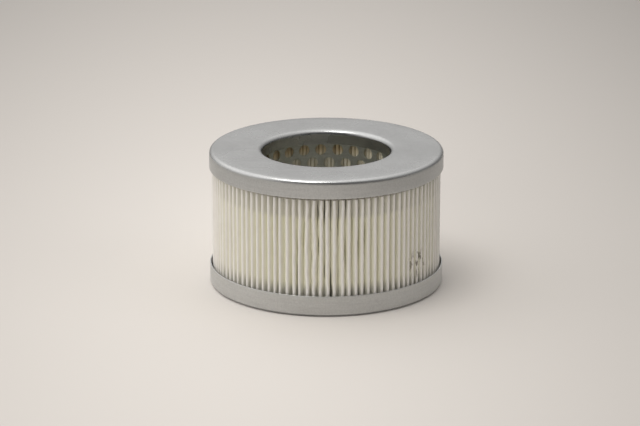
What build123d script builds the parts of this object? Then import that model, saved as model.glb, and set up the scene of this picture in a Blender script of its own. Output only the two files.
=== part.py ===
from build123d import *

import math
import os

# Pleated filter element: a ring of folded media between two stamped end caps.
# It stands on its bottom end cap, with its axis on +Z and its origin at the centre
# of the base. Sizes are in millimetres and degrees. Air or oil flows in through the
# pleats, through the perforated centre tube and out of the bore, open at both ends.

# ---- whole element ----
outer_diameter = 100.0  # over the skirts of the end caps
element_height = 59.0  # over the flat faces of the end caps

# ---- end caps, each a channel ring pressed from one sheet ----
cap_sheet = 0.5
bore_diameter = 55.0  # inside the collars
skirt_corner = 1.8  # outside radius between face and skirt
collar_lip = 2.0  # outside radius between face and collar
collar_depth = 6.2
top_skirt_depth = 7.8
bottom_skirt_depth = 9.0
round_facets = 3  # across each outside round

# ---- centre tube, punched flat and rolled, with its edges lapped ----
tube_sheet = 0.5
tube_clearance = 0.15  # between the collars and the tube
tube_end_gap = 0.05  # between a tube end and the slope inside the lip it stands on
seam_angle = -89.0
hole_columns = 24  # the seam takes the place of one column
hole_rows = 8
hole_row_pitch = 5.9
tube_flats = 2 * hole_columns  # alternate rows are staggered by one flat
hole_corners = 8  # four of them lie on the bends beside the hole's own flat

# ---- pleated media, one folded strip with its ends glued together ----
pleat_count = 105
media_thickness = 0.6
fold_gap = 0.1  # space left inside a fold
tip_setback = 0.5  # from the inside of a skirt to the tips of the pleats
fold_clearance = 0.35  # from the lap of the tube to the inner folds
tip_facets = 3
fold_facets = 2
glued_pleat = 26  # carries the glued ends, counted from +X
glued_share = 0.5  # how much of that pleat's flank is double

# ---- potting, the adhesive that holds media and tube in each cap ----
potting_depth = 2.0  # from the inside of a cap's face to the ends of the media
potting_gap = 0.05  # between the potting and the tube

outer_radius = outer_diameter / 2
bore_radius = bore_diameter / 2
skirt_inside = outer_radius - cap_sheet
collar_outside = bore_radius + cap_sheet
tube_inside = collar_outside + tube_clearance
tube_outside = tube_inside + tube_sheet
lap_outside = tube_outside + tube_sheet
tip_radius = skirt_inside - tip_setback
fold_radius = lap_outside + fold_clearance
fold_half_width = media_thickness + fold_gap / 2
media_end = cap_sheet + potting_depth
pleat_step = 360 / pleat_count
flat_step = 360 / tube_flats


def polar(radius, degrees):
    """The point at that radius and angle, in the XY plane."""
    angle = math.radians(degrees)
    return Vector(radius * math.cos(angle), radius * math.sin(angle))


def at_bend(flat_radius):
    """How far out the bends lie between flats at that distance from the axis."""
    return flat_radius / math.cos(math.radians(flat_step / 2))


def at_top(piece):
    """The piece turned over about the X axis, from the base to the top of the element."""
    return Pos(0, 0, element_height) * Rot(X=180) * piece


# ---- end caps ----


def round_points(centre, radius, start, end):
    """The points of a pressed round in the section, from one angle to the other."""
    points = []
    for facet in range(round_facets + 1):
        angle = math.radians(start + (end - start) * facet / round_facets)
        points.append((centre[0] + radius * math.cos(angle), centre[1] + radius * math.sin(angle)))
    return points


def inside_height(radius):
    """How high the inside of a cap stands at that radius, on the slope inside its lip."""
    return max(collar_lip - (radius - collar_outside), cap_sheet)


def end_cap(skirt_depth):
    """A channel ring with its face on z = 0, its skirt and collar pointing up."""
    lip_centre = (bore_radius + collar_lip, collar_lip)
    corner_centre = (outer_radius - skirt_corner, skirt_corner)
    section = Polyline(
        (bore_radius, collar_depth),
        *round_points(lip_centre, collar_lip, 180, 270),
        *round_points(corner_centre, skirt_corner, 270, 360),
        (outer_radius, skirt_depth),
        (skirt_inside, skirt_depth),
        (skirt_inside, skirt_corner),
        (corner_centre[0], cap_sheet),
        (lip_centre[0], cap_sheet),
        (collar_outside, collar_lip),
        (collar_outside, collar_depth),
        close=True,
    )
    return revolve(Plane.XZ * make_face(section), Axis.Z)


# ---- centre tube ----


def lap_plan(gap=0.0):
    """The section of the upper edge of the lap, half a flat to either side of a bend."""
    outer = lap_outside + gap
    half = flat_step / 2 + math.degrees(gap / outer)
    corners = [
        polar(tube_outside, -half),
        polar(outer, -half),
        polar(at_bend(outer), 0),
        polar(outer, half),
        polar(tube_outside, half),
        polar(at_bend(tube_outside), 0),
    ]
    return Rot(Z=seam_angle) * make_face(Polyline(*corners, close=True))


def tube_plan():
    """The section of the rolled tube, with a bend under the middle of the lap."""
    outer = RegularPolygon(at_bend(tube_outside), tube_flats)
    inner = RegularPolygon(at_bend(tube_inside), tube_flats)
    return Rot(Z=seam_angle) * (outer - inner) + lap_plan()


def hole_cutter():
    """One hole along +X, wider towards the outside, as a hole punched before rolling is."""
    corner_per_radius = math.tan(math.radians(flat_step / 2)) * math.sqrt(2)
    ends = [
        Plane.YZ.offset(radius) * RegularPolygon(corner_per_radius * radius, hole_corners)
        for radius in (tube_inside - tube_sheet, lap_outside + tube_sheet)
    ]
    return loft(ends, ruled=True)


def hole_places():
    """Staggered rows, each with a hole on every other flat and none on the seam."""
    first_row = element_height / 2 - (hole_rows - 1) / 2 * hole_row_pitch
    for row in range(hole_rows):
        for column in range(hole_columns - 1):
            flats_from_seam = 2 * column + 1.5 + row % 2
            turn = seam_angle + flats_from_seam * flat_step
            yield Pos(0, 0, first_row + row * hole_row_pitch) * Rot(Z=turn)


def centre_tube():
    """The perforated tube, which stands on the slopes inside both lips."""
    foot = inside_height(tube_inside) + tube_end_gap
    wall = Pos(0, 0, foot) * extrude(tube_plan(), element_height - 2 * foot)
    cutter = hole_cutter()
    return wall.cut(*[place * cutter for place in hole_places()])


# ---- pleated media ----


def fold_points(radius, degrees, facets, outward):
    """The round of one fold, from its right side to its left as seen along its radius."""
    along, across = polar(1, degrees), polar(1, degrees + 90)
    sense = 1 if outward else -1
    centre = (radius - sense * fold_half_width) * along
    points = []
    for facet in range(facets + 1):
        swing = math.radians(-90 + 180 * facet / facets)
        bulge = sense * fold_half_width * math.cos(swing)
        points.append(centre + bulge * along + fold_half_width * math.sin(swing) * across)
    return points


def glued_ends():
    """The end of the strip that lies along the flank of the glued pleat."""
    tip_angle = glued_pleat * pleat_step
    tip = fold_points(tip_radius, tip_angle, tip_facets, True)[-1]
    root = polar(fold_radius + media_thickness, tip_angle + pleat_step / 2)
    start = tip + glued_share * (root - tip)
    flank = (tip - root).normalized()
    thickness = media_thickness * Vector(-flank.Y, flank.X)
    return make_face(Polyline(start, tip, tip + thickness, start + thickness, close=True))


def pleated_media():
    """The folded strip, straight flanks between rounded tips and inner folds."""
    outside, inside = [], []
    for pleat in range(pleat_count):
        tip_angle = pleat * pleat_step
        root_angle = tip_angle + pleat_step / 2
        outside += fold_points(tip_radius, tip_angle, tip_facets, True)
        outside.append(polar(fold_radius + media_thickness, root_angle))
        inside.append(polar(tip_radius - media_thickness, tip_angle))
        inside += fold_points(fold_radius, root_angle, fold_facets, False)
    ring = make_face(Polyline(*outside, close=True)) - make_face(Polyline(*inside, close=True))
    plan = ring + glued_ends()
    return Pos(0, 0, media_end) * extrude(plan, element_height - 2 * media_end)


# ---- potting ----


def potting():
    """The adhesive in the bottom cap, poured round the foot of the tube."""
    tube_side = at_bend(tube_outside) + potting_gap
    section = Polyline(
        (bore_radius + collar_lip, cap_sheet),
        (outer_radius - skirt_corner, cap_sheet),
        (skirt_inside, skirt_corner),
        (skirt_inside, media_end),
        (tube_side, media_end),
        (tube_side, inside_height(tube_side)),
        close=True,
    )
    return revolve(Plane.XZ * make_face(section), Axis.Z)


def clear_of_lap(piece):
    """The piece with a notch for the lap, which runs the whole height of the tube."""
    return piece - extrude(lap_plan(potting_gap), element_height)


def write(pieces):
    os.makedirs("parts", exist_ok=True)
    for name, piece in pieces.items():
        export_step(piece, f"parts/{name}.step")
        print(f"{name}: {piece.volume:.0f} mm3")


write(
    {
        "bottom_end_cap": end_cap(bottom_skirt_depth),
        "top_end_cap": at_top(end_cap(top_skirt_depth)),
        "centre_tube": centre_tube(),
        "pleated_media": pleated_media(),
        "bottom_potting": clear_of_lap(potting()),
        "top_potting": clear_of_lap(at_top(potting())),
    }
)
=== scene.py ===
import math
import random

import bmesh
import bpy
from mathutils import Matrix, Vector, noise


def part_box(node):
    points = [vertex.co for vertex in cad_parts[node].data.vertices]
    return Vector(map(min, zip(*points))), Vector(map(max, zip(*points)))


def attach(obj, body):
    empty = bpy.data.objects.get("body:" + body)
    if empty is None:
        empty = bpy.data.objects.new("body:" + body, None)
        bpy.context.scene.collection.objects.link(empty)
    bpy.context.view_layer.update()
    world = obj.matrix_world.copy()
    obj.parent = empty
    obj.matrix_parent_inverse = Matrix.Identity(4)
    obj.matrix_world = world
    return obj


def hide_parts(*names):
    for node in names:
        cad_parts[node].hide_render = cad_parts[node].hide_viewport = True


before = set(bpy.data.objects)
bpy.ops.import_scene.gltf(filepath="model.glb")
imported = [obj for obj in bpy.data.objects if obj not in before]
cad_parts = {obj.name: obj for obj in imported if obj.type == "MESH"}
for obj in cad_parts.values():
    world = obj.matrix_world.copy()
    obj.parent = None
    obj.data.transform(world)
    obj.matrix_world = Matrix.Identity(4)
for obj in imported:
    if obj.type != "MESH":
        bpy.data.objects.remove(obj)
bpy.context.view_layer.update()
print("frame loaded")

mergeDistance = 2e-6  # everything here is in metres


def polar(radius, angle, height):
    return Vector((radius * math.cos(angle), radius * math.sin(angle), height))


def linked(name, data):
    thing = bpy.data.objects.new(name, data)
    bpy.context.scene.collection.objects.link(thing)
    return thing


def meshFrom(name, bm):
    mesh = bpy.data.meshes.new(name)
    bm.to_mesh(mesh)
    bm.free()
    return mesh


def pieceFrom(name, bm):
    mesh = meshFrom(name, bm)
    mesh.shade_smooth()
    piece = linked(name, mesh)
    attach(piece, "root")
    return piece


def markSharp(bm, degrees):
    limit = math.radians(degrees)
    for edge in bm.edges:
        if len(edge.link_faces) == 2 and edge.calc_face_angle(0) > limit:
            edge.smooth = False


def newMaterial(name, color, roughness, metallic=0.0):
    material = bpy.data.materials.new(name)
    material.use_nodes = True
    shader = material.node_tree.nodes["Principled BSDF"]
    shader.inputs["Base Color"].default_value = (*color, 1)
    shader.inputs["Roughness"].default_value = roughness
    shader.inputs["Metallic"].default_value = metallic
    return material, material.node_tree, shader


def addNode(tree, kind, **settings):
    node = tree.nodes.new(kind)
    for key, value in settings.items():
        setattr(node, key, value)
    return node


def fill(tree, socket, value):  # a socket takes a link, a colour or a number
    if isinstance(value, bpy.types.NodeSocket):
        tree.links.new(value, socket)
    elif isinstance(value, tuple):
        socket.default_value = (*value, 1)
    else:
        socket.default_value = value


def noiseAt(tree, scale, stretch=(1, 1, 1), detail=3.0, roughness=0.55):
    coords = addNode(tree, "ShaderNodeTexCoord")
    mapping = addNode(tree, "ShaderNodeMapping")
    mapping.inputs["Scale"].default_value = stretch
    texture = addNode(tree, "ShaderNodeTexNoise")
    texture.inputs["Scale"].default_value = scale
    texture.inputs["Detail"].default_value = detail
    texture.inputs["Roughness"].default_value = roughness
    tree.links.new(coords.outputs["Object"], mapping.inputs["Vector"])
    tree.links.new(mapping.outputs["Vector"], texture.inputs["Vector"])
    return texture.outputs["Fac"]


def ranged(tree, source, low, high, toLow=0, toHigh=1):
    node = addNode(tree, "ShaderNodeMapRange")
    node.inputs["From Min"].default_value = low
    node.inputs["From Max"].default_value = high
    node.inputs["To Min"].default_value = toLow
    node.inputs["To Max"].default_value = toHigh
    tree.links.new(source, node.inputs["Value"])
    return node.outputs["Result"]


def mixed(tree, factor, first, second, blend="MIX"):
    node = addNode(tree, "ShaderNodeMix", data_type="RGBA", blend_type=blend)
    for number, value in ((0, factor), (6, first), (7, second)):  # the sockets for colours
        fill(tree, node.inputs[number], value)
    return node.outputs[2]


def maths(tree, operation, first, second=None):
    node = addNode(tree, "ShaderNodeMath", operation=operation)
    fill(tree, node.inputs[0], first)
    if second is not None:
        fill(tree, node.inputs[1], second)
    return node.outputs[0]


def product(tree, first, *others):
    for other in others:
        first = maths(tree, "MULTIPLY", first, other)
    return first


def total(tree, first, second):
    return maths(tree, "ADD", first, second)


def placeFrom(tree):
    coords = addNode(tree, "ShaderNodeTexCoord")
    parts = addNode(tree, "ShaderNodeSeparateXYZ")
    tree.links.new(coords.outputs["Object"], parts.inputs[0])
    return parts.outputs


def radiusFrom(tree):  # the distance from the axis
    place = placeFrom(tree)
    squares = [product(tree, place[axis], place[axis]) for axis in "XY"]
    return maths(tree, "SQRT", total(tree, *squares))


def bumpFrom(tree, shader, height, strength, distance):
    bump = addNode(tree, "ShaderNodeBump")
    bump.inputs["Strength"].default_value = strength
    bump.inputs["Distance"].default_value = distance
    tree.links.new(height, bump.inputs["Height"])
    tree.links.new(bump.outputs["Normal"], shader.inputs["Normal"])


tinLook = {
    "capColor": (0.535, 0.540, 0.540),
    "capRoughness": (0.20, 0.32),
    "tubeColor": (0.62, 0.635, 0.59),
    "tubeRoughness": (0.42, 0.55),
    "tones": (0.84, 1.10),  # the darkest and the lightest share of the colour
    "brushing": 60,
    "brushStretch": (1, 1, 14),  # its marks run round the piece
    "brushShare": 0.5,
    "speckle": 1400,
    "clouding": 55,
    "bump": 0.05,
    "bumpDepth": 0.00001,
    "skirtRoughness": (0.40, 0.52),  # the skirts are brushed
    "skirtRadius": 0.0499,
    "skirtBlend": 0.0001,
    # painted reflection: the skirts are painted lighter and warmer, as the floor reflected in
    # them makes them look
    "skirtPaintedReflection": (1.17, 1.17, 1.15245),
}


def tinplate(name, color, roughness, brushedSkirtAndPaintedReflection):
    look = tinLook
    material, tree, shader = newMaterial(name, color, roughness[0], metallic=1.0)
    brushed = noiseAt(tree, look["brushing"], look["brushStretch"], detail=4.0)
    speckle = noiseAt(tree, look["speckle"], detail=4.0, roughness=0.7)
    cloud = noiseAt(tree, look["clouding"])
    low, high = [tuple(c * share for c in color) for share in look["tones"]]
    speckleTone = mixed(tree, ranged(tree, speckle, 0.35, 0.65), low, high)
    brushTone = mixed(tree, ranged(tree, brushed, 0.3, 0.7), low, high)
    tone = mixed(tree, look["brushShare"], speckleTone, brushTone)
    rough = ranged(tree, cloud, 0.3, 0.7, *roughness)
    if brushedSkirtAndPaintedReflection:
        edge = look["skirtRadius"]
        skirt = ranged(tree, radiusFrom(tree), edge - look["skirtBlend"], edge)
        # painted reflection of the floor: the skirt's colour is made lighter and warmer
        tone = mixed(tree, skirt, tone, mixed(tree, 1.0, tone, look["skirtPaintedReflection"], "MULTIPLY"))
        skirtRough = ranged(tree, brushed, 0.3, 0.7, *look["skirtRoughness"])
        rest = maths(tree, "SUBTRACT", 1.0, skirt)
        rough = total(tree, product(tree, rough, rest), product(tree, skirtRough, skirt))
    tree.links.new(tone, shader.inputs["Base Color"])
    tree.links.new(rough, shader.inputs["Roughness"])
    bumpFrom(tree, shader, speckle, look["bump"], look["bumpDepth"])
    return material


capTin = tinplate("cap tinplate", tinLook["capColor"], tinLook["capRoughness"], True)
tubeTin = tinplate("tube tinplate", tinLook["tubeColor"], tinLook["tubeRoughness"], False)
print("tinplate made")


capLook = {
    "sheet": 0.0005,
    "boreRadius": 0.0275,
    "corner": 0.0018,
    "lip": 0.0020,
    "collarDepth": 0.0062,
    "edgeRound": 0.00022,  # at the mouth of the skirt
    "faceRadii": (0.033, 0.039, 0.044),  # rings that keep the shading of the face even
    "skirtTop": 0.0026,  # and the same for the skirt, below the corner
    "skirtFoot": 0.0008,  # and above the mouth
    "roundSteps": 10,
    "innerSteps": 5,
    "around": 288,
    "sharpAngle": 40,
    "bevel": 0.00009,
    "bevelAngle": 50,
}


def arcPoints(centre, radius, start, end, steps):
    points = []
    for step in range(steps + 1):
        angle = math.radians(start + (end - start) * step / steps)
        points.append((centre[0] + radius * math.cos(angle),
                       centre[1] + radius * math.sin(angle)))
    return points


def capSection(outerRadius, skirtDepth):  # radii, and distances from the face
    look = capLook
    sheet, corner, lip = look["sheet"], look["corner"], look["lip"]
    bore, collar, edge = look["boreRadius"], look["collarDepth"], look["edgeRound"]
    steps, innerSteps = look["roundSteps"], look["innerSteps"]
    lipCentre, cornerCentre = (bore + lip, lip), (outerRadius - corner, corner)
    edgeCentre = (outerRadius - edge, skirtDepth - edge)
    outside = [(bore, collar)]
    outside += arcPoints(lipCentre, lip, 180, 270, steps)
    outside += [(radius, 0.0) for radius in look["faceRadii"]]
    outside += arcPoints(cornerCentre, corner, 270, 360, steps)
    outside += [(outerRadius, look["skirtTop"]), (outerRadius, skirtDepth - look["skirtFoot"])]
    outside += arcPoints(edgeCentre, edge, 0, 90, innerSteps)
    inside = [(outerRadius - sheet, skirtDepth), (outerRadius - sheet, look["skirtTop"])]
    inside += arcPoints(cornerCentre, corner - sheet, 360, 270, innerSteps)
    inside += arcPoints(lipCentre, lip - sheet, 270, 180, innerSteps)
    inside += [(bore + sheet, collar)]
    return outside + inside


def spunCap(name, node, pointsUp):
    look = capLook
    low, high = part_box(node)
    face, sense = (low.z, 1) if pointsUp else (high.z, -1)
    section = capSection(high.x, high.z - low.z)
    bm = bmesh.new()
    ring = [bm.verts.new((radius, 0, face + sense * depth)) for radius, depth in section]
    edges = [bm.edges.new((ring[i - 1], ring[i])) for i in range(len(ring))]
    bmesh.ops.spin(bm, geom=ring + edges, cent=(0, 0, 0), axis=(0, 0, 1), dvec=(0, 0, 0),
                   angle=math.tau, steps=look["around"], use_merge=True)
    bmesh.ops.remove_doubles(bm, verts=bm.verts, dist=1e-7)
    bmesh.ops.recalc_face_normals(bm, faces=bm.faces)
    markSharp(bm, look["sharpAngle"])
    cap = pieceFrom(name, bm)
    bevel = cap.modifiers.new("edge", "BEVEL")
    bevel.width, bevel.segments, bevel.limit_method = look["bevel"], 2, "ANGLE"
    bevel.angle_limit = math.radians(look["bevelAngle"])
    cap.data.materials.append(capTin)
    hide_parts(node)


spunCap("bottomCap", "bottom_end_cap", True)
spunCap("topCap", "top_end_cap", False)
print("end caps made")


tubeLook = {
    "insideRadius": 0.02815,
    "wall": 0.00049,
    "lapLift": 0.00051,
    "columns": 24,  # the seam takes the place of one of them
    "rows": 8,
    "rowPitch": 0.0059,
    "holeRadius": 0.00241,
    "seamAngle": math.radians(-89.0),
    "firstShift": 0.25,  # shares of a cell, from the seam
    "stagger": 0.5,
    "acrossSteps": 8,  # along each cell
    "upSteps": 6,
    "lapSteps": 4,
    "lapShare": 0.25,  # of a cell, to either side of the seam
    "inset": 0.00001,
}


def flatSheet(bm, columns, left, right, bottom, top, out=0.0):
    # X runs round the tube, Y up it and Z outwards
    middle = Matrix.Translation(((left + right) / 2, (bottom + top) / 2, out))
    spread = Matrix.Diagonal((right - left, top - bottom, 1, 1))
    bmesh.ops.create_grid(bm, x_segments=columns, y_segments=1, size=0.5, matrix=middle @ spread)


def runsAlong(edge, axis):
    start, end = edge.verts
    return abs(start.co[1 - axis] - end.co[1 - axis]) < mergeDistance


def punchHoles(bm, around):  # one in each cell, apart from those on the seam
    look = tubeLook
    level = [edge for edge in bm.edges if runsAlong(edge, 0)]
    upright = [edge for edge in bm.edges if runsAlong(edge, 1)]
    bmesh.ops.bisect_edges(bm, edges=level, cuts=look["acrossSteps"] - 1)
    bmesh.ops.bisect_edges(bm, edges=upright, cuts=look["upSteps"] - 1)
    lastCell = around * (1 - 0.5 / look["columns"])
    seamCells = [face for face in bm.faces if face.calc_center_bounds().x > lastCell]
    cells = [face for face in bm.faces if face.calc_center_bounds().x <= lastCell]
    bmesh.ops.inset_individual(bm, faces=cells, thickness=look["inset"])
    for cell in cells:  # what is inset becomes round
        centre = cell.calc_center_bounds()
        for vert in cell.verts:
            vert.co = centre + (vert.co - centre).normalized() * look["holeRadius"]
    bmesh.ops.delete(bm, geom=cells, context="FACES_ONLY")
    bmesh.ops.poke(bm, faces=seamCells)


def makeTube():
    look = tubeLook
    low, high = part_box("centre_tube")
    radius, rows, pitch = look["insideRadius"], look["rows"], look["rowPitch"]
    around = math.tau * radius
    cellWidth = around / look["columns"]
    firstEdge = (low.z + high.z - rows * pitch) / 2
    lastEdge = firstEdge + rows * pitch
    bm = bmesh.new()
    for row in range(rows):
        left = (look["firstShift"] + look["stagger"] * (row % 2)) * cellWidth
        bottom = firstEdge + row * pitch
        flatSheet(bm, look["columns"], left, left + around, bottom, bottom + pitch)
    punchHoles(bm, around)
    steps = look["columns"] * look["acrossSteps"]
    flatSheet(bm, steps, 0, around, low.z, firstEdge)
    flatSheet(bm, steps, 0, around, lastEdge, high.z)
    half = cellWidth * look["lapShare"]
    flatSheet(bm, look["lapSteps"], -half, half, low.z, high.z, look["lapLift"])
    for vert in bm.verts:  # the flat sheets are rolled
        angle = look["seamAngle"] + vert.co.x / radius
        vert.co = polar(radius + vert.co.z, angle, vert.co.y)
    bmesh.ops.remove_doubles(bm, verts=bm.verts, dist=mergeDistance)
    for edge in bm.edges:
        edge.smooth = not edge.is_boundary
    tube = pieceFrom("tube", bm)
    wall = tube.modifiers.new("wall", "SOLIDIFY")
    wall.thickness, wall.offset = look["wall"], 1.0
    tube.data.materials.append(tubeTin)
    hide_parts("centre_tube")


makeTube()
print("centre tube made")


mediaLook = {
    "pleats": 105,
    "thickness": 0.0006,
    "foldGap": 0.0001,
    "foldRadius": 0.0295,
    "foldBend": 0.00050,
    "tipPoints": 5,
    "foldPoints": 4,
    "levels": 35,
    "seed": 7,
    "jitter": 0.10,  # shares of a pleat's pitch
    "drift": 0.44,
    "driftTurns": 2.2,
    "foldJitter": 0.05,
    "tipDrop": 0.00018,
    "wander": 0.00007,
    "wanderBends": (3.0, 15.0),  # slow and quick ones, over the height
    "wanderShares": (1.6, 0.9),
    "frontWander": 0.00028,
    "frontAngle": math.radians(-91),
    "frontSpread": math.radians(13),
    "sideRadius": 0.0479,  # the flanks run straight down from the tips to here
    "floorRadius": 0.0473,  # and lie against their neighbours from here
    "sideRoom": 0.00004,
    "floorRoom": 0.00005,
    "apart": 0.00048,  # how far neighbours stay apart where they don't touch
    "apartBends": 5.0,
    "tipColor": (0.95, 0.92, 0.885),
    # painted light: the valleys are painted yellower, for light bouncing in them and shining
    # through the paper
    "valleyPaintedTint": (0.965, 0.95, 0.76),
    "tipRadii": (0.0474, 0.0486),  # from the painted valley tint to a tip's colour
    "innerColors": ((0.96, 0.91, 0.75), (0.68, 0.54, 0.32)),  # the first is painted light glowing in the inner folds; the second is darker and browner, towards the top
    "innerRadii": (0.0350, 0.0400),
    "innerDarkeningHeights": (0.0465, 0.0500),
    "paintedLightAcross": (0.006, 0.022),  # painted light: less so to one side, where light through the bore falls on the inner folds
    "translucence": 0.20,
    "glowColor": (0.99, 0.98, 0.93),
    "bandDepths": (0.0090, 0.0050),  # painted shade under the top skirt and above the bottom one
    "paintedShadeShares": (0.84, 0.66),
    "bandBlends": ((-0.0008, 0.0012), (0.0, -0.0035)),
    "bandRadii": (0.0479, 0.0487),
    "mouthLine": (0.0011, 0.0007),  # painted shadow, from the mouth of the top skirt down
    "mouthShade": 0.85,
    "mouthFront": (-0.034, -0.046),  # the painted shadow is strongest on this side
    "mottle": 420,
    "mottleTone": 0.93,
    # the stains' colour, also used for the painted shadow under the top skirt
    "stainAndShadowColor": (0.16, 0.13, 0.09),
    "stainPlace": (0.0383, 0.0172),  # X and Z, low on one side
    "stainSize": (0.0042, 0.0062),
    "stainDashes": 1000,
    "grain": 1500,
    "bump": 0.3,
    "bumpDepth": 0.00008,
}


def pleatPlan():  # the angle and the drop of each tip, and the angle of each fold
    look = mediaLook
    rng = random.Random(look["seed"])
    step = math.tau / look["pleats"]
    tips, folds = [], []
    for pleat in range(look["pleats"]):
        angle = pleat * step
        drift = noise.noise(polar(look["driftTurns"], angle, 3.1))
        shift = (look["drift"] * drift + rng.uniform(-1, 1) * look["jitter"]) * step
        tips.append((angle + shift, rng.uniform(-1, 0) * look["tipDrop"]))
        folds.append(angle + step / 2 + rng.uniform(-1, 1) * look["foldJitter"] * step)
    return tips, folds


def tipWander(pleat, angle, share):  # how far a tip strays along the ring at a height
    look = mediaLook
    away = (angle - look["frontAngle"] + math.pi) % math.tau - math.pi
    front = math.exp(-(away / look["frontSpread"]) ** 2)
    slowBends, quickBends = look["wanderBends"]
    slowShare, quickShare = look["wanderShares"]
    slow = slowShare * noise.noise(Vector((pleat * 3.7, share * slowBends, 1.3)))
    quick = quickShare * noise.noise(Vector((pleat * 5.1, share * quickBends, 8.9)))
    hold = min(1, 6 * share + 0.5, 6 * (1 - share) + 0.5)  # the adhesive holds both ends
    return (look["wander"] + look["frontWander"] * front) * (slow + quick) * hold


def neighbourGap(pleat, share):
    look = mediaLook
    opening = noise.noise(Vector((pleat * 2.9, share * look["apartBends"], 5.7)))
    return max(0, opening) * look["apart"]


def foldCurve(centre, radius, angle, outward, points):
    along = Vector((math.cos(angle), math.sin(angle), 0))
    across = Vector((-math.sin(angle), math.cos(angle), 0))
    sense = 1 if outward else -1
    curve = []
    for i in range(points):
        swing = math.radians(-90 + 180 * i / (points - 1))
        bulge = sense * radius * math.cos(swing) * along
        curve.append(centre + bulge + radius * math.sin(swing) * across)
    return curve


def flankPoints(tipAngle, valleyAngle, side, height, gap):
    look = mediaLook
    beside = (look["thickness"] + look["foldGap"]) / 2 + look["sideRoom"]
    room = look["thickness"] / 2 + look["floorRoom"] + gap
    sideRadius, floorRadius = look["sideRadius"], look["floorRadius"]
    return [polar(sideRadius, tipAngle - side * beside / sideRadius, height),
            polar(floorRadius, valleyAngle + side * room / floorRadius, height)]


def mediaRing(tips, folds, tipRadius, height, share):  # the folded strip at one height
    look = mediaLook
    pleats = look["pleats"]
    tipBend, foldBend = (look["thickness"] + look["foldGap"]) / 2, look["foldBend"]
    halfSheet = look["thickness"] / 2
    angles = [angle + tipWander(pleat, angle, share) / tipRadius
              for pleat, (angle, drop) in enumerate(tips)]
    angles.append(angles[0] + math.tau)
    ring = []
    for pleat in range(pleats):
        angle, nextAngle = angles[pleat], angles[pleat + 1]
        valley = (angle + nextAngle) / 2
        gap = neighbourGap(pleat, share)
        tip = polar(tipRadius - tipBend - halfSheet + tips[pleat][1], angle, height)
        fold = polar(look["foldRadius"] + foldBend + halfSheet, folds[pleat], height)
        ring += foldCurve(tip, tipBend, angle, True, look["tipPoints"])
        ring += flankPoints(angle, valley, -1, height, gap)
        ring += foldCurve(fold, foldBend, folds[pleat], False, look["foldPoints"])
        ring += reversed(flankPoints(nextAngle, valley, 1, height, gap))
    return ring


def makeMedia():
    look = mediaLook
    low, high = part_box("pleated_media")
    tips, folds = pleatPlan()
    bm = bmesh.new()
    rings = []
    for level in range(look["levels"]):
        share = level / (look["levels"] - 1)
        height = low.z + share * (high.z - low.z)
        ring = mediaRing(tips, folds, high.x, height, share)
        rings.append([bm.verts.new(point) for point in ring])
    for lower, upper in zip(rings, rings[1:]):
        for i in range(len(lower)):
            bm.faces.new((lower[i - 1], lower[i], upper[i], upper[i - 1]))
    media = pieceFrom("media", bm)
    sheet = media.modifiers.new("paper", "SOLIDIFY")
    sheet.thickness, sheet.offset = look["thickness"], 0.0
    media.data.materials.append(mediaPaper())
    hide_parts("pleated_media")


def foldTone(tree, place, radius, inward):  # painted light in the valleys and inner folds, the tips' own colour, and inner folds darker and browner towards the top
    look = mediaLook
    darkerAbove = ranged(tree, place["Z"], *look["innerDarkeningHeights"])
    # painted light: the inner folds are lighter towards +X
    paintedLightSide = ranged(tree, place["X"], *look["paintedLightAcross"], 1, 0.1)
    inner = mixed(tree, product(tree, darkerAbove, paintedLightSide), *look["innerColors"])
    tone = mixed(tree, inward, inner, look["valleyPaintedTint"])
    return mixed(tree, ranged(tree, radius, *look["tipRadii"]), tone, look["tipColor"])


def skirtShadeTone(tree, tone, place, radius, inward):  # painted shade: the folds are greyer near the skirts, where the skirts shade them
    look = mediaLook
    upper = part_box("top_end_cap")[0].z - look["bandDepths"][0]
    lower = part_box("bottom_end_cap")[1].z + look["bandDepths"][1]
    bands = [ranged(tree, place["Z"], height + start, height + end)
             for height, (start, end) in zip((upper, lower), look["bandBlends"])]
    shadedFolds = product(tree, ranged(tree, radius, *look["bandRadii"], 1, 0), inward)
    middle = [(tip + valley) / 2 for tip, valley in zip(look["tipColor"], look["valleyPaintedTint"])]
    for band, share in zip(bands, look["paintedShadeShares"]):
        shade = tuple(c * share for c in middle)
        tone = mixed(tree, product(tree, band, shadedFolds), tone, shade)
    return tone


def mouthShadowTone(tree, tone, place):  # painted shadow: a thin dark line where the folds leave the top skirt, under its edge
    look = mediaLook
    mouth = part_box("top_end_cap")[0].z
    start, end = [mouth - depth for depth in look["mouthLine"]]
    line = ranged(tree, place["Z"], start, end, 0, look["mouthShade"])
    facing = ranged(tree, place["Y"], *look["mouthFront"], 0.25, 1)
    return mixed(tree, product(tree, line, facing), tone, look["stainAndShadowColor"])


def stainTone(tree, tone, place):  # small smudges
    look = mediaLook
    squares = []
    for axis, middle, size in zip("XZ", look["stainPlace"], look["stainSize"]):
        away = maths(tree, "DIVIDE", maths(tree, "SUBTRACT", place[axis], middle), size)
        squares.append(maths(tree, "POWER", away, 2.0))
    near = ranged(tree, total(tree, *squares), 0.25, 1.3, 1, 0)
    front = maths(tree, "LESS_THAN", place["Y"], 0.0)
    marks = noiseAt(tree, look["stainDashes"], (1, 1, 0.28), 2.0)
    dashes = ranged(tree, marks, 0.555, 0.63, 0, 0.85)
    return mixed(tree, product(tree, near, front, dashes), tone, look["stainAndShadowColor"])


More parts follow.
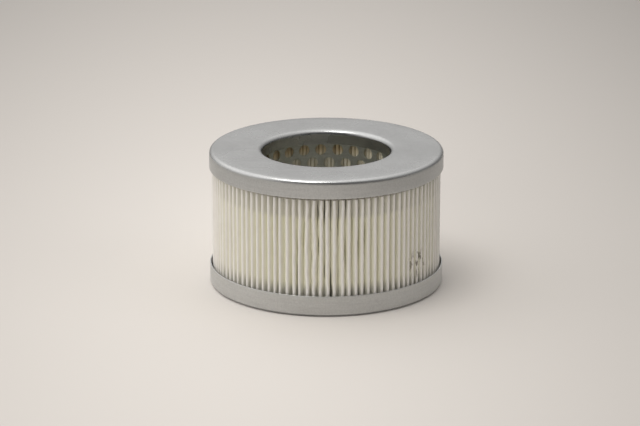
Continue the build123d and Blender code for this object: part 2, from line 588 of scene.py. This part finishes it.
def mediaPaper():
    look = mediaLook
    material, tree, shader = newMaterial("filter paper", look["tipColor"], 0.9)
    place, radius = placeFrom(tree), radiusFrom(tree)
    inward = ranged(tree, radius, *look["innerRadii"])
    tone = foldTone(tree, place, radius, inward)
    tone = skirtShadeTone(tree, tone, place, radius, inward)
    tone = mouthShadowTone(tree, tone, place)
    mottle = noiseAt(tree, look["mottle"], (1, 1, 0.5), 4.0, 0.6)
    pale = tuple(c * look["mottleTone"] for c in look["tipColor"])
    tone = mixed(tree, ranged(tree, mottle, 0.4, 0.75, 0, 0.35), tone, pale, "MULTIPLY")
    tone = stainTone(tree, tone, place)
    tree.links.new(tone, shader.inputs["Base Color"])
    glow = addNode(tree, "ShaderNodeBsdfTranslucent")
    glow.inputs["Color"].default_value = (*look["glowColor"], 1)
    blend = addNode(tree, "ShaderNodeMixShader")
    blend.inputs[0].default_value = look["translucence"]
    tree.links.new(shader.outputs[0], blend.inputs[1])
    tree.links.new(glow.outputs[0], blend.inputs[2])
    tree.links.new(blend.outputs[0], tree.nodes["Material Output"].inputs["Surface"])
    grain = noiseAt(tree, look["grain"], (1, 1, 0.6), 4.0, 0.65)
    bumpFrom(tree, shader, grain, look["bump"], look["bumpDepth"])
    return material


makeMedia()
print("pleated media made")


pottingLook = {"color": (0.42, 0.37, 0.29), "roughness": 0.6}

adhesive = newMaterial("adhesive", pottingLook["color"], pottingLook["roughness"])[0]
for node in ("bottom_potting", "top_potting"):  # the frame's own shapes are kept
    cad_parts[node].data.materials.clear()
    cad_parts[node].data.materials.append(adhesive)
print("potting made")


floorLook = {
    "color": (0.765, 0.723, 0.682),
    "halfSize": 8.0,
    "paintedPoolCentre": (-0.035, 0.06),  # of the painted pool of light round the element
    "paintedPoolReach": (0.285, 0.90),
    "paintedPoolFade": (1.0, 0.50),  # painted light: shares of the colour at the centre and at the reach
    "paintedFalloffReach": 3,  # painted darkening further off, out to this many pool reaches
    "paintedFalloffShare": 0.35,
}


def floorWithPaintedLight():
    look = floorLook
    material, tree, shader = newMaterial("floor", look["color"], 0.85)
    coords = addNode(tree, "ShaderNodeTexCoord")
    mapping = addNode(tree, "ShaderNodeMapping")
    for axis, (centre, reach) in enumerate(zip(look["paintedPoolCentre"], look["paintedPoolReach"])):
        mapping.inputs["Scale"].default_value[axis] = 1 / reach
        mapping.inputs["Location"].default_value[axis] = -centre / reach
    distance = addNode(tree, "ShaderNodeVectorMath", operation="LENGTH")
    tree.links.new(coords.outputs["Object"], mapping.inputs["Vector"])
    tree.links.new(mapping.outputs["Vector"], distance.inputs[0])
    # painted light: the floor is lighter in a pool round the element and darker further off
    near = ranged(tree, distance.outputs["Value"], 0, 1, *look["paintedPoolFade"])
    far = ranged(tree, distance.outputs["Value"], 1, look["paintedFalloffReach"], 1, look["paintedFalloffShare"])
    tone = addNode(tree, "ShaderNodeVectorMath", operation="SCALE")
    tone.inputs[0].default_value = look["color"]
    tree.links.new(product(tree, near, far), tone.inputs["Scale"])
    tree.links.new(tone.outputs["Vector"], shader.inputs["Base Color"])
    return material


def makeFloor():
    bm = bmesh.new()
    bmesh.ops.create_grid(bm, x_segments=1, y_segments=1, size=floorLook["halfSize"])
    floor = linked("floor", meshFrom("floor", bm))
    floor.data.materials.append(floorWithPaintedLight())


skyLook = {
    "color": (1.0, 0.985, 0.965),
    "toward": (-0.75, 0.22, 0.62),  # the bright side of the room
    "turn": (-0.6, 0.85),  # between the dark side and the bright one
    "strength": (0.26, 1.33),
    "rise": (0.10, 0.60),  # above the horizon
    "horizonShare": 0.45,
    "front": (-0.75, -0.15),  # along Y
    "frontShare": 0.12,  # the room is dark on the camera's side
}


def makeSky():
    look = skyLook
    world = bpy.data.worlds.new("studio")
    world.use_nodes = True
    tree = world.node_tree
    coords = addNode(tree, "ShaderNodeTexCoord")
    facing = addNode(tree, "ShaderNodeVectorMath", operation="DOT_PRODUCT")
    facing.inputs[1].default_value = look["toward"]
    parts = addNode(tree, "ShaderNodeSeparateXYZ")
    for node in (facing, parts):
        tree.links.new(coords.outputs["Generated"], node.inputs[0])
    sided = ranged(tree, facing.outputs["Value"], *look["turn"], *look["strength"])
    risen = ranged(tree, parts.outputs["Z"], *look["rise"], look["horizonShare"], 1)
    front = ranged(tree, parts.outputs["Y"], *look["front"], look["frontShare"], 1)
    background = tree.nodes["Background"]
    background.inputs["Color"].default_value = (*look["color"], 1)
    tree.links.new(product(tree, sided, risen, front), background.inputs["Strength"])
    bpy.context.scene.world = world


lampLook = {  # those that aren't mirrored light the paper and leave the metal alone
    "overhead": {"place": (-0.26, -0.22, 1.0), "target": (0, 0, 0), "size": (0.45, 0.45),
                 "power": 2.6, "color": (1, 0.985, 0.96), "mirrored": True},
    "left window": {"place": (-1.60, -0.85, 0.60), "target": (0, 0, 0.03), "size": (2.2, 1.4),
                    "power": 3.2, "color": (1, 0.985, 0.96), "mirrored": False},
    "fill": {"place": (-0.50, -1.30, 0.50), "target": (0, 0, 0.03), "size": (1.2, 0.6),
             "power": 4.6, "color": (1, 0.98, 0.95), "mirrored": False},
    "right fill": {"place": (1.30, -0.50, 0.90), "target": (0, 0, 0.03), "size": (1.2, 0.8),
                   "power": 2.6, "color": (1, 0.985, 0.96), "mirrored": False},
}


def addLamp(name, look):
    light = bpy.data.lights.new(name, "AREA")
    light.shape = "RECTANGLE"
    light.size, light.size_y = look["size"]
    light.energy, light.color = look["power"], look["color"]
    lamp = linked(name, light)
    lamp.location = look["place"]
    toward = Vector(look["target"]) - Vector(look["place"])
    lamp.rotation_euler = toward.to_track_quat("-Z", "Y").to_euler()
    lamp.visible_glossy = look["mirrored"]


cameraLook = {
    "elevation": 17.3,
    "distance": 1.2585,
    "target": (-0.00268, 0, 0.0299),
    "lens": 164.9,
    "sensor": 36,
    "clip": (0.05, 50),
}


def placeCamera():
    look = cameraLook
    camera = linked("camera", bpy.data.cameras.new("camera"))
    rise = math.radians(look["elevation"])
    back = Vector((0, -math.cos(rise), math.sin(rise)))
    camera.location = Vector(look["target"]) + back * look["distance"]
    camera.rotation_euler = (-back).to_track_quat("-Z", "Y").to_euler()
    camera.data.lens, camera.data.sensor_width = look["lens"], look["sensor"]
    camera.data.clip_start, camera.data.clip_end = look["clip"]
    bpy.context.scene.camera = camera


makeFloor()
makeSky()
for lampName, lampSettings in lampLook.items():
    addLamp(lampName, lampSettings)
placeCamera()
bpy.context.scene.view_settings.view_transform = "Standard"
print("stage made")
